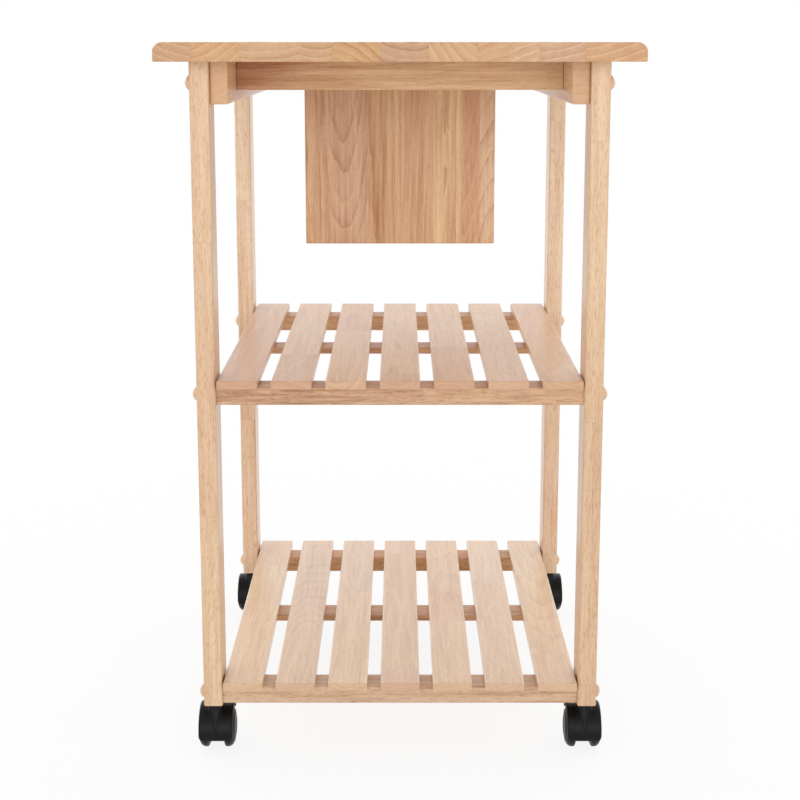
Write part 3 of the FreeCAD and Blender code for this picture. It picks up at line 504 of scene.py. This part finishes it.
# How the timber of each kind of piece is cut and figured, as inputs of the timber group; ring_share and
# tone_share are parts of the ring spacing and the tone spread in the settings
PLAIN_CUT = {"ring_share": 1.0, "tone_share": 0.6}
TOP_CUT = {"stave_variety": 0.6, "joint_scatter": 1.0, "log_size": 3.0, "figure": 0.7, "waver": 0.004,
           "tone_share": 0.7}
FRAME_CUT = {"log_size": 2.5, "figure": 0.35}
BOARD_CUT = {"stave_variety": 0.6, "run_out": 0.34, "waver": 0.003, "figure": 0.75, "rosiness": 0.45,
             "ring_share": 0.6, "tone_share": 1.0}
LEG_CUT = {"run_out": 0.015, "waver": 0.003, "figure": 0.3, "streak": 0.8, "fleck": 0.4, "ring_share": 0.6,
           "tone_share": 0.3, "stain_edge": 0.1, "stain_core": -0.05}
BAR_CUT = {"run_out": 0.12, "waver": 0.014, "figure": 0.6, "streak": 1.9, "fleck": 0.5, "ring_share": 0.5}
SLAT_CUT = {"run_out": 0.45, "waver": 0.009, "figure": 0.42, "streak": 0.75, "fleck": 0.25, "rosiness": 0.45,
            "ring_share": 0.8, "tone_share": 0.5}

# First seed of each kind of piece, so that every piece has wood of its own
SEEDS = {"top": 12, "rail": 21, "apron": 23, "board": 34, "leg": 41, "cap": 49, "mid_bar": 60, "low_bar": 70,
         "mid_slat": 601, "low_slat": 701}
SLAT_JOINT_STEP = 0.37   # of a slat's length, from the joint of one slat to that of the next

# Wood of the legs at each end of the cart, with the rear legs' wood paler as painted light, and how much it
# darkens towards the floor
LEG_WOODS = {"front": ("leg", 0.16), "rear": ("brightened_rear_leg", 0.32)}
APRON_PAINTED_SHADE = 0.6        # painted shade: how much the left end of the front apron darkens, next to the side rail and leg
APRON_CLEAR = 0.45       # of half its length, where that begins


def empty_bench(owner):
    """Bench on the emptied node tree of a material or world."""
    owner.use_nodes = True
    owner.node_tree.nodes.clear()
    return NodeBench(owner.node_tree)


def new_material(name):
    """Material with a Principled BSDF; gives the material, its bench and the shader."""
    material = bpy.data.materials.new(name)
    bench = empty_bench(material)
    shader = bench.add("ShaderNodeBsdfPrincipled")
    bench.add("ShaderNodeOutputMaterial", {"Surface": shader.outputs["BSDF"]})
    return material, bench, shader


def wear(shader, bench, effect, relief):
    """Feed a shader from an effect group: colour, roughness and a relief of some depth."""
    bench.feed(shader.inputs["Base Color"], effect.outputs["Color"])
    bench.feed(shader.inputs["Roughness"], effect.outputs["Roughness"])
    bump = bench.add("ShaderNodeBump", {
        "Height": effect.outputs["Height"], "Strength": RELIEF_STRENGTH, "Distance": relief})
    bench.feed(shader.inputs["Normal"], bump.outputs["Normal"])


def opaque(tint):
    return (*tint, 1.0)


def middle_of(node):
    low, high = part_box(node)
    return (low + high) / 2


def dress(node, material):
    """Put a material on every slot of a CAD node."""
    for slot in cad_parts[node].material_slots:
        slot.material = material


def dress_timber(node, grain, wood, seed, settings, cut, lacquer=None, **places):
    """Timber on one piece, with the pattern centred on the piece and turned to its grain."""
    material, bench, shader = new_material(f"timber_{node}")
    turn = GRAIN_TURNS[grain]
    centre = middle_of(node)
    centre.rotate(turn)
    source = bench.add("ShaderNodeTexCoord").outputs
    position = bench.add("ShaderNodeMapping", {
        "Vector": source["Object"], "Location": -centre, "Rotation": turn})
    normal = bench.add("ShaderNodeMapping", {
        "Vector": source["Normal"], "Rotation": turn}, vector_type="VECTOR")
    values = {**PLAIN_CUT, **cut, **places}
    values.update(
        position=position.outputs["Vector"], normal=normal.outputs["Vector"], seed=float(seed),
        ring_spacing=settings.ring_spacing * values.pop("ring_share"),
        tone_spread=settings.tone_spread * values.pop("tone_share"),
        finger_length=settings.finger_length, blush=opaque(settings.blush),
        pale=opaque(getattr(settings, f"{wood}_pale")), dark=opaque(getattr(settings, f"{wood}_dark")))
    timber = bench.add("ShaderNodeGroup", node_tree=node_group("solid_timber", make_timber_group))
    for name, setting in values.items():
        bench.feed(timber.inputs[name.replace("_", " ").title()], setting)
    wear(shader, bench, timber, TIMBER_RELIEF)
    shader.inputs["Coat Weight"].default_value = settings.lacquer if lacquer is None else lacquer
    shader.inputs["Coat Roughness"].default_value = LACQUER_ROUGHNESS
    dress(node, material)


def moulding_material(name, base, settings):
    material, bench, shader = new_material(name)
    source = bench.add("ShaderNodeTexCoord").outputs
    moulding = bench.add("ShaderNodeGroup", node_tree=node_group("moulded_plastic", make_moulding_group))
    values = {"Position": source["Object"], "Base": opaque(base), "Scuff": opaque(settings.dust_grey),
              "Roughness": settings.roughness}
    for socket, setting in values.items():
        bench.feed(moulding.inputs[socket], setting)
    wear(shader, bench, moulding, MOULDING_RELIEF)
    shader.inputs["Specular IOR Level"].default_value = MOULDING_SPECULAR
    return material


def zinc_material(settings):
    material, bench, shader = new_material("zinc_plated_steel")
    place = bench.add("ShaderNodeTexCoord").outputs["Object"]
    crystals = bench.noise(place, CRYSTAL_NOISE)
    stains = bench.noise(place, STAIN_NOISE, detail=3.0)
    stained = bench.blend("MULTIPLY", bench.spread(stains, 0.25, 0.25), opaque(settings.zinc), ZINC_STAIN)
    bench.feed(shader.inputs["Base Color"], stained)
    bench.feed(shader.inputs["Roughness"], bench.spread(crystals, 0.34, 0.10))
    shader.inputs["Metallic"].default_value = 1.0
    return material


class CART_OT_work_top(Operator):
    """Staved and finger-jointed timber on the work top"""
    bl_idname = "cart.work_top"
    bl_label = "Work Top"

    def execute(self, context):
        settings = context.scene.cart_timber
        dress_timber("table_top", "Y", "top", SEEDS["top"], settings, TOP_CUT,
                     stave_width=settings.stave_width, stave_start=settings.top_first_stave,
                     joint_spacing=settings.panel_length)
        return {"FINISHED"}


class CART_OT_under_frame(Operator):
    """Timber on the side rails, the cross aprons and their dowels"""
    bl_idname = "cart.under_frame"
    bl_label = "Rails and Aprons"

    def execute(self, context):
        settings = context.scene.cart_timber
        for seed, side in enumerate(SIDES, start=SEEDS["rail"]):
            dress_timber(f"side_rail_{side}", "Y", "rail", seed, settings, FRAME_CUT, settings.leg_lacquer)
        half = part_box("front_apron")[1].x
        # Painted shade darkens the left end of the front apron
        stain = {"stain": APRON_PAINTED_SHADE, "stain_edge": -APRON_CLEAR * half, "stain_core": -half}
        aprons = {"front_apron": stain, "rear_apron": {}, "apron_dowels": {}}
        for seed, (node, places) in enumerate(aprons.items(), start=SEEDS["apron"]):
            dress_timber(node, "X", "apron", seed, settings, FRAME_CUT, **places)
        return {"FINISHED"}


class CART_OT_hanging_board(Operator):
    """Staved timber with upright grain on the hanging board"""
    bl_idname = "cart.hanging_board"
    bl_label = "Hanging Board"

    def execute(self, context):
        settings = context.scene.cart_timber
        dress_timber("hanging_board", "Z", "board", SEEDS["board"], settings, BOARD_CUT,
                     stave_width=settings.board_stave_width, stave_start=settings.board_first_stave)
        return {"FINISHED"}


class CART_OT_legs(Operator):
    """Finger-jointed timber on the four legs, and turned timber on their caps"""
    bl_idname = "cart.legs"
    bl_label = "Legs and Caps"

    def execute(self, context):
        settings = context.scene.cart_timber
        for seed, corner in enumerate(CORNERS, start=SEEDS["leg"]):
            end, side = corner.split("_")
            wood, stain = LEG_WOODS[end]
            node = f"leg_{corner}"
            joint = getattr(settings, f"{side}_leg_joint") - middle_of(node).z
            dress_timber(node, "Z", wood, seed, settings, LEG_CUT, settings.leg_lacquer, stain=stain,
                         joint_spacing=settings.leg_length, joint_start=joint)
        dress_timber("bolt_caps", "Z", "leg", SEEDS["cap"], settings, PLAIN_CUT, settings.leg_lacquer)
        return {"FINISHED"}


class CART_OT_shelves(Operator):
    """Timber on the bars, battens and slats of both shelves"""
    bl_idname = "cart.shelves"
    bl_label = "Shelves"

    def execute(self, context):
        settings = context.scene.cart_timber
        for shelf in SHELVES:
            woods = {"front_bar": f"{shelf}_bar", "rear_bar": "batten", "centre_batten": "batten"}
            for seed, (piece, wood) in enumerate(woods.items(), start=SEEDS[f"{shelf}_bar"]):
                dress_timber(f"{shelf}_shelf_{piece}", "X", wood, seed, settings, BAR_CUT)
            slat_wood = f"{shelf}_slat"
            lacquer = getattr(settings, f"{slat_wood}_lacquer")
            for seed, slat in enumerate(SLAT_NUMBERS, start=SEEDS[slat_wood]):
                joint = settings.slat_length * (seed * SLAT_JOINT_STEP % 1.0)
                dress_timber(f"{shelf}_shelf_slat_{slat}", "Y", slat_wood, seed, settings, SLAT_CUT, lacquer,
                             joint_spacing=settings.slat_length, joint_start=joint)
        return {"FINISHED"}


class CART_OT_fasteners(Operator):
    """Zinc-plated steel on screws, bolts, nuts and sockets"""
    bl_idname = "cart.fasteners"
    bl_label = "Fasteners"

    def execute(self, context):
        zinc = zinc_material(context.scene.cart_caster)
        for node in ("top_screws", "board_screws", "slat_screws", "rail_screws", "shelf_bolts", "barrel_nuts",
                     "stem_sockets"):
            dress(node, zinc)
        for corner in CORNERS:
            for piece in ("stem", "axle"):
                dress(f"caster_{corner}_{piece}", zinc)
        return {"FINISHED"}


# Neck down the front of a hood, from the boss to its tip: height above the floor, front face before the stem
# and half of the width, in metres
NECK = (
    (0.0620, 0.0090, 0.0090),
    (0.0550, 0.0103, 0.0083),
    (0.0500, 0.0118, 0.0074),
    (0.0460, 0.0134, 0.0064),
    (0.0420, 0.0152, 0.0056),
    (0.0380, 0.0168, 0.0048),
    (0.0340, 0.0180, 0.0040),
    (0.0300, 0.0186, 0.0030),
    (0.0260, 0.0184, 0.0016),
)
NECK_BACK = 0.004        # metres behind the stem, where the neck is buried in the hood

# Half section of a right wheel from the end of the axle bore outwards and back: distance from the middle of
# the caster and radius, in metres
WHEEL_SECTION = (
    (0.0174, 0.0), (0.0174, 0.0033), (0.0085, 0.0033), (0.0085, 0.0072), (0.0100, 0.0078),
    (0.0114, 0.0092), (0.0118, 0.0120), (0.0118, 0.0165), (0.0112, 0.0186), (0.0096, 0.0196),
    (0.0086, 0.0201), (0.0088, 0.0212), (0.0100, 0.0240), (0.0108, 0.0248), (0.0118, 0.0250),
    (0.0135, 0.0250), (0.0152, 0.0248), (0.0170, 0.0240), (0.0186, 0.0227), (0.0198, 0.0211),
    (0.0207, 0.0193), (0.0211, 0.0182), (0.0209, 0.0178), (0.0203, 0.0176), (0.0203, 0.0171),
    (0.0210, 0.0169), (0.0215, 0.0163), (0.0219, 0.0143), (0.0223, 0.0120), (0.0225, 0.0098),
    (0.0226, 0.0084), (0.0222, 0.0081), (0.0222, 0.0076), (0.0227, 0.0073), (0.0229, 0.0062),
    (0.02305, 0.0035), (0.0231, 0.0),
)

# Fineness of the moulded pieces
SWEEP_STEPS = 80
RIM_STEPS = 6
CORNER_CUTS = tuple(math.radians(degrees) for degrees in (18, 45, 72))
NECK_SIDES = 28
ROD_SIDES = 64
WHEEL_STEPS = 96
SMOOTH_FACTOR = 0.5
SMOOTH_ROUNDS = 8
SMOOTH_ANGLE = math.radians(32)
SWEEP_SEAM = 1e-6        # metres, points of a seam that merge
WHEEL_SEAM = 1e-5
WEB_RIM = 0.001          # metres, rounding of the web's rim
CUT_BEYOND = 0.01        # metres by which the stem's bore is cut past the boss
SEED_FACE = 0.001        # metres, a face that is merged into the first point of an outline


def deselect():
    bpy.ops.object.select_all(action="DESELECT")


def spin_round(axle, steps, turn, seam):
    """Spin the outline in hand round an axle along X, merge its seams and point its faces outwards."""
    bpy.ops.mesh.select_all(action="SELECT")
    bpy.ops.mesh.spin(steps=steps, angle=turn, center=axle, axis=(1, 0, 0))
    bpy.ops.mesh.select_all(action="SELECT")
    bpy.ops.mesh.remove_doubles(threshold=seam)
    bpy.ops.mesh.normals_make_consistent(inside=False)


def apply_modifier(kind, **settings):
    """Add a modifier to the active piece, set it up and apply it."""
    piece = bpy.context.object
    bpy.ops.object.modifier_add(type=kind)
    modifier = piece.modifiers[-1]
    for name, setting in settings.items():
        setattr(modifier, name, setting)
    bpy.ops.object.modifier_apply(modifier=modifier.name)


def swept_section(width, inner, outer, rim, axle, front, rear):
    """Bar of a hood: a section with round outer corners, swept round the axle between its two edges."""
    deselect()
    bpy.ops.mesh.primitive_plane_add(size=1, enter_editmode=True,
                                     location=axle + Vector((0, (inner + outer) / 2, 0)))
    bpy.ops.transform.resize(value=(width, outer - inner, 1))
    mesh = bmesh.from_edit_mesh(bpy.context.object.data)
    for vertex in mesh.verts:
        vertex.select_set(vertex.co.y > 0)
    mesh.select_flush_mode()
    bpy.ops.mesh.bevel(affect="VERTICES", offset=rim, segments=RIM_STEPS)
    spin_round(axle, SWEEP_STEPS, -math.pi - front, SWEEP_SEAM)
    bpy.ops.mesh.bisect(plane_co=axle, plane_no=(0, -math.sin(rear), math.cos(rear)), use_fill=True,
                        clear_inner=True)
    bpy.ops.object.mode_set(mode="OBJECT")
    return bpy.context.object


def round_corners(width, radius, corner, axle, ends):
    """Cut the active cover's corners round; ends holds each end's angle and the sign of the way on."""
    bpy.ops.object.mode_set(mode="EDIT")
    for end, way in ends:
        onward = way * Vector((0, -math.sin(end), math.cos(end)))
        rim = axle + radius * Vector((0, math.cos(end), math.sin(end)))
        for side in (-1, 1):
            outward = Vector((side, 0, 0))
            centre = rim + (width / 2 - corner) * outward - corner * onward
            for tilt in CORNER_CUTS:
                normal = math.cos(tilt) * outward + math.sin(tilt) * onward
                bpy.ops.mesh.select_all(action="SELECT")
                bpy.ops.mesh.bisect(plane_co=centre + corner * normal, plane_no=normal, use_fill=True,
                                    clear_outer=True)
    bpy.ops.object.mode_set(mode="OBJECT")


def neck_loft(stem):
    """Neck of a hood: a disc drawn down the front in steps that narrow to a tip."""
    deselect()
    height, _, half = NECK[0]
    bpy.ops.mesh.primitive_circle_add(vertices=NECK_SIDES, radius=half, fill_type="NGON", enter_editmode=True,
                                      location=(stem.x, stem.y, height))
    deep = 2 * half
    middle = 0.0
    for next_height, front, next_half in NECK[1:]:
        next_deep = front + NECK_BACK
        next_middle = (NECK_BACK - front) / 2
        bpy.ops.mesh.extrude_region_move(TRANSFORM_OT_translate={
            "value": (0, next_middle - middle, next_height - height)})
        bpy.ops.transform.resize(value=(next_half / half, next_deep / deep, 1),
                                 center_override=(stem.x, stem.y + next_middle, next_height))
        height, half, deep, middle = next_height, next_half, next_deep, next_middle
    bpy.ops.mesh.select_all(action="SELECT")
    bpy.ops.mesh.normals_make_consistent(inside=False)
    bpy.ops.object.mode_set(mode="OBJECT")
    return bpy.context.object


def rod(radius, start, end, along):
    """Cylinder between two points on a line along X or Z."""
    deselect()
    turn = (0, math.pi / 2, 0) if along == "X" else (0, 0, 0)
    bpy.ops.mesh.primitive_cylinder_add(vertices=ROD_SIDES, radius=radius, depth=(end - start).length,
                                        location=(start + end) / 2, rotation=turn)
    return bpy.context.object


def bore_out(piece, cutter):
    """Take a cutter's shape out of a piece."""
    bpy.context.view_layer.objects.active = piece
    apply_modifier("BOOLEAN", object=cutter, operation="DIFFERENCE", solver="EXACT")
    bpy.data.objects.remove(cutter)


def place_piece(piece, name, offset):
    """Settle a finished piece in its place, with the object at the origin."""
    deselect()
    piece.name = name
    piece.select_set(True)
    bpy.context.view_layer.objects.active = piece
    piece.location += offset
    bpy.ops.object.transform_apply(location=True, rotation=True, scale=True)
    bpy.ops.object.shade_smooth_by_angle(angle=SMOOTH_ANGLE)


def copy_piece(piece):
    copy = piece.copy()
    copy.data = piece.data.copy()
    bpy.context.scene.collection.objects.link(copy)
    return copy


def one_per_corner(piece):
    """Pairs of a piece or its copy and a corner of the cart."""
    return list(zip([piece] + [copy_piece(piece) for _ in CORNERS[1:]], CORNERS))


class CART_OT_hoods(Operator):
    """Moulded caster hoods, each with a neck that tapers down its front"""
    bl_idname = "cart.hoods"
    bl_label = "Caster Hoods"

    def execute(self, context):
        settings = context.scene.cart_caster
        first = f"caster_{CORNERS[0]}"
        axle = middle_of(f"{first}_axle")
        stem = middle_of(f"{first}_stem")
        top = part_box(f"{first}_hood")[1].z
        inner = settings.hood_radius - settings.hood_wall
        half_web = Vector((settings.web_width / 2, 0, 0))
        cover = swept_section(settings.hood_width, inner, settings.hood_radius, settings.hood_rim, axle,
                              settings.hood_front, settings.hood_rear)
        round_corners(settings.hood_width, settings.hood_radius, settings.hood_corner, axle,
                      ((settings.hood_rear, -1), (math.pi + settings.hood_front, 1)))
        parts = [
            cover,
            swept_section(settings.web_width, inner / 2, inner + settings.hood_wall / 2, WEB_RIM, axle,
                          settings.hood_front, settings.hood_rear),
            rod(settings.web_radius, axle - half_web, axle + half_web, "X"),
            rod(settings.boss_radius, Vector((stem.x, stem.y, axle.z + settings.boss_foot)),
                Vector((stem.x, stem.y, top)), "Z"),
            neck_loft(stem),
        ]
        for part in parts:
            part.select_set(True)
        context.view_layer.objects.active = parts[0]
        bpy.ops.object.join()
        hood = context.object
        apply_modifier("REMESH", mode="VOXEL", voxel_size=settings.mould_grain)
        apply_modifier("SMOOTH", factor=SMOOTH_FACTOR, iterations=SMOOTH_ROUNDS)
        bore_out(hood, rod(settings.axle_bore, axle - 2 * half_web, axle + 2 * half_web, "X"))
        bore_floor = Vector((stem.x, stem.y, top - settings.stem_bore_depth))
        bore_end = Vector((stem.x, stem.y, top + CUT_BEYOND))
        bore_out(hood, rod(settings.stem_bore, bore_floor, bore_end, "Z"))
        hood.data.materials.clear()
        hood.data.materials.append(moulding_material("hood_plastic", settings.hood_black, settings))
        for piece, corner in one_per_corner(hood):
            place_piece(piece, f"hood_{corner}", middle_of(f"caster_{corner}_stem") - stem)
            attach(piece, f"{corner}_hood")
            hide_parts(f"caster_{corner}_hood")
        return {"FINISHED"}


class CART_OT_wheels(Operator):
    """Turned caster wheels with a grooved rim, a shallow dome and a hub cap"""
    bl_idname = "cart.wheels"
    bl_label = "Caster Wheels"

    def execute(self, context):
        settings = context.scene.cart_caster
        axle = middle_of(f"caster_{CORNERS[0]}_axle")
        deselect()
        bpy.ops.mesh.primitive_plane_add(size=SEED_FACE, enter_editmode=True)
        bpy.ops.mesh.merge(type="CENTER")
        points = [axle + Vector((across, 0, radius)) for across, radius in WHEEL_SECTION]
        bpy.ops.transform.translate(value=points[0])
        for before, after in zip(points, points[1:]):
            bpy.ops.mesh.extrude_vertices_move(TRANSFORM_OT_translate={"value": after - before})
        spin_round(axle, WHEEL_STEPS, 2 * math.pi, WHEEL_SEAM)
        bpy.ops.object.mode_set(mode="OBJECT")
        right = context.object
        right.data.materials.append(moulding_material("wheel_plastic", settings.wheel_black, settings))

        left = copy_piece(right)
        deselect()
        left.select_set(True)
        context.view_layer.objects.active = left
        bpy.ops.object.mode_set(mode="EDIT")
        bpy.ops.mesh.select_all(action="SELECT")
        bpy.ops.transform.resize(value=(-1, 1, 1), center_override=axle)
        bpy.ops.mesh.normals_make_consistent(inside=False)
        bpy.ops.object.mode_set(mode="OBJECT")
        for side, pattern in (("left", left), ("right", right)):
            for piece, corner in one_per_corner(pattern):
                place_piece(piece, f"wheel_{corner}_{side}", middle_of(f"caster_{corner}_axle") - axle)
                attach(piece, f"{corner}_{side}_wheel")
                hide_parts(f"caster_{corner}_wheel_{side}")
        return {"FINISHED"}


def seen_directly(bench):
    """1 for what the camera, a mirror or glass looks at, 0 for light on the way to a dull surface."""
    path = bench.add("ShaderNodeLightPath").outputs
    direct = bench.math("MAXIMUM", path["Is Camera Ray"], path["Is Glossy Ray"])
    return bench.math("MAXIMUM", direct, path["Is Transmission Ray"])


def floor_material(settings):
    """White floor that keeps a soft shadow near the cart and fades into the white room."""
    material = bpy.data.materials.new("white_floor")
    bench = empty_bench(material)
    place = bench.add("ShaderNodeTexCoord").outputs["Object"]
    distance = bench.add("ShaderNodeVectorMath", {0: place}, operation="LENGTH").outputs["Value"]
    near = bench.math("SUBTRACT", 1.0, bench.step(distance, settings.shadow_reach / 3, settings.shadow_reach))
    shadow = bench.math("MULTIPLY", near, settings.shadow)
    lit = bench.add("ShaderNodeBsdfDiffuse", {"Color": WHITE}).outputs["BSDF"]
    white = bench.add("ShaderNodeEmission", {"Color": WHITE, "Strength": 1.0}).outputs["Emission"]
    glow = bench.math("MULTIPLY", seen_directly(bench), bench.math("SUBTRACT", 1.0, shadow))
    mixed = bench.add("ShaderNodeMixShader", {0: glow, 1: lit, 2: white}).outputs["Shader"]
    bench.add("ShaderNodeOutputMaterial", {"Surface": mixed})
    return material


def make_room(settings):
    """White world: plain white to the eye, softer as a light."""
    world = bpy.data.worlds.new("white_room")
    bench = empty_bench(world)
    strength = bench.add("ShaderNodeMapRange", {
        "Value": seen_directly(bench), "To Min": settings.room_light, "To Max": 1.0}).outputs["Result"]
    light = bench.add("ShaderNodeBackground", {"Color": WHITE, "Strength": strength})
    bench.add("ShaderNodeOutputWorld", {"Surface": light.outputs["Background"]})
    bpy.context.scene.world = world


LAMP_PLACE = (0, 0, 2)   # metres; a distant lamp lights alike from anywhere


def add_lamp(name, strength, height, side, softness):
    """Soft distant lamp, at a height above level and turned to the side from the camera."""
    bpy.ops.object.light_add(type="SUN", location=LAMP_PLACE, rotation=(math.pi / 2 - height, 0, side))
    lamp = bpy.context.object
    lamp.name = name
    lamp.data.energy = strength
    lamp.data.angle = softness


class CART_OT_stage(Operator):
    """White floor, soft lamps and the camera"""
    bl_idname = "cart.stage"
    bl_label = "Stage"

    def execute(self, context):
        settings = context.scene.cart_stage
        scene = context.scene
        scene.view_settings.view_transform = "Standard"
        make_room(settings)

        bpy.ops.mesh.primitive_plane_add(size=settings.floor_size)
        floor = context.object
        floor.name = "floor"
        floor.data.materials.append(floor_material(settings))

        for side_name, side in (("left", -1), ("right", 1)):
            add_lamp(f"front_{side_name}_lamp", settings.front_light, settings.front_height,
                     side * settings.front_side, settings.front_softness)
            add_lamp(f"rear_{side_name}_lamp", settings.rear_light, settings.rear_height,
                     side * settings.rear_side, settings.rear_softness)

        bpy.ops.object.camera_add(location=(0, -settings.camera_distance, settings.camera_height),
                                  rotation=(math.pi / 2 - settings.camera_tilt, 0, 0))
        camera = context.object
        camera.name = "camera"
        camera.data.lens = settings.lens
        camera.data.shift_y = settings.lens_shift
        scene.camera = camera
        return {"FINISHED"}


OPERATORS = (CART_OT_work_top, CART_OT_under_frame, CART_OT_hanging_board, CART_OT_legs, CART_OT_shelves,
             CART_OT_fasteners, CART_OT_hoods, CART_OT_wheels, CART_OT_stage)
SETTINGS = {
    "cart_timber": CartTimberSettings,
    "cart_caster": CartCasterSettings,
    "cart_stage": CartStageSettings,
}


class CART_PT_panel(Panel):
    """Pieces and finishes of the cart"""
    bl_idname = "CART_PT_panel"
    bl_label = "Kitchen Cart"
    bl_space_type = "VIEW_3D"
    bl_region_type = "UI"
    bl_category = "Cart"

    def draw(self, context):
        for operator in OPERATORS:
            self.layout.operator(operator.bl_idname)
        for group in SETTINGS:
            settings = getattr(context.scene, group)
            box = self.layout.box()
            for name in settings.bl_rna.properties.keys():
                if name not in ("rna_type", "name"):
                    box.prop(settings, name)


CLASSES = (*SETTINGS.values(), *OPERATORS, CART_PT_panel)


def register():
    for kind in CLASSES:
        bpy.utils.register_class(kind)
    for name, kind in SETTINGS.items():
        setattr(bpy.types.Scene, name, PointerProperty(type=kind))


def unregister():
    for name in SETTINGS:
        delattr(bpy.types.Scene, name)
    for kind in reversed(CLASSES):
        bpy.utils.unregister_class(kind)


def main():
    register()
    deselect()
    bpy.ops.cart.work_top()
    bpy.ops.cart.under_frame()
    bpy.ops.cart.hanging_board()
    bpy.ops.cart.legs()
    bpy.ops.cart.shelves()
    bpy.ops.cart.fasteners()
    bpy.ops.cart.hoods()
    bpy.ops.cart.wheels()
    bpy.ops.cart.stage()


if __name__ == "__main__":
    main()
